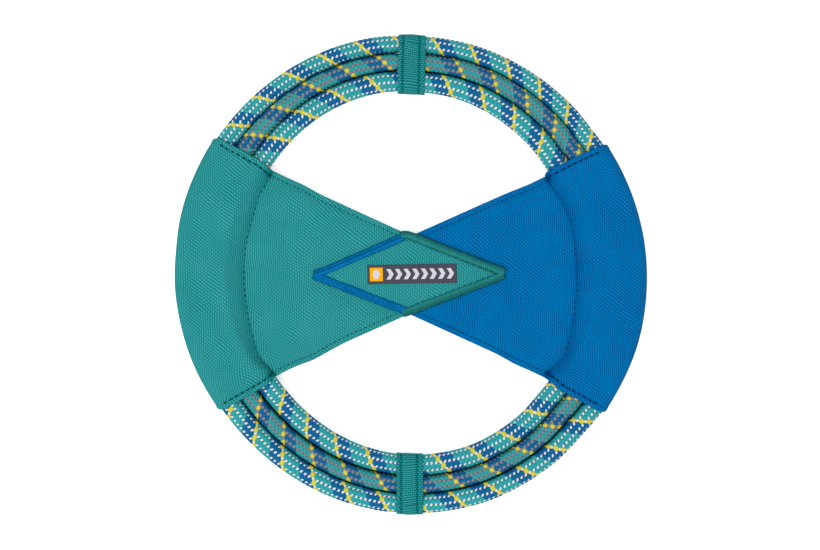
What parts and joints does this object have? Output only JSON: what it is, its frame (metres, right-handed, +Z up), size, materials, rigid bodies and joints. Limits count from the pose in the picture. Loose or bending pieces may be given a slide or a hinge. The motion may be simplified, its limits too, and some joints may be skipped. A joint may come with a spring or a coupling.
{
  "type": "soft flying ring",
  "caption": "Soft round throwing ring: braided ropes side by side, cloth wings sewn over them that cross at a diamond waist with a label, and cloth bands.",
  "frame": {"origin": "on the surface the ring rests on, under its centre", "axes": "+Z up through the ring, label side up; +Y from the waist to the upper band; +X from the teal wing to the blue wing"},
  "size_m": [0.238, 0.238, 0.0115],
  "materials": {
    "bright_rope": "braided cord in teal, blue, yellow and white yarn",
    "reflective_rope": "braided cord in teal, blue, yellow and reflective grey yarn",
    "rope_core": "foam, matte",
    "joint_sleeve": "matte",
    "teal_cloth": "coarse plain weave, matte",
    "blue_cloth": "coarse plain weave, matte",
    "label_cloth": "woven, matte",
    "teal_thread": "matte",
    "blue_thread": "matte",
    "grey_thread": "matte"
  },
  "bodies": {
    "root": {"outer_rope_sheath": "bright_rope", "outer_rope_core": "rope_core", "outer_rope_joint": "joint_sleeve", "middle_rope_sheath": "reflective_rope", "middle_rope_core": "rope_core", "middle_rope_joint": "joint_sleeve", "inner_rope_sheath": "bright_rope", "inner_rope_core": "rope_core", "inner_rope_joint": "joint_sleeve", "left_wing_front": "teal_cloth", "left_wing_back": "teal_cloth", "right_wing_front": "blue_cloth", "right_wing_back": "blue_cloth", "waist_patch_front": "teal_cloth", "waist_patch_back": "teal_cloth", "waist_label": "label_cloth", "upper_band": "teal_cloth", "lower_band": "teal_cloth", "left_wing_edge_thread": "teal_thread", "right_wing_edge_thread": "blue_thread", "left_channel_thread": "teal_thread", "right_channel_thread": "blue_thread", "left_rim_thread": "teal_thread", "right_rim_thread": "blue_thread", "blue_tip_thread": "blue_thread", "waist_patch_thread": "teal_thread", "label_thread": "grey_thread", "upper_band_thread": "teal_thread", "lower_band_thread": "teal_thread"}
  },
  "joints": []
}
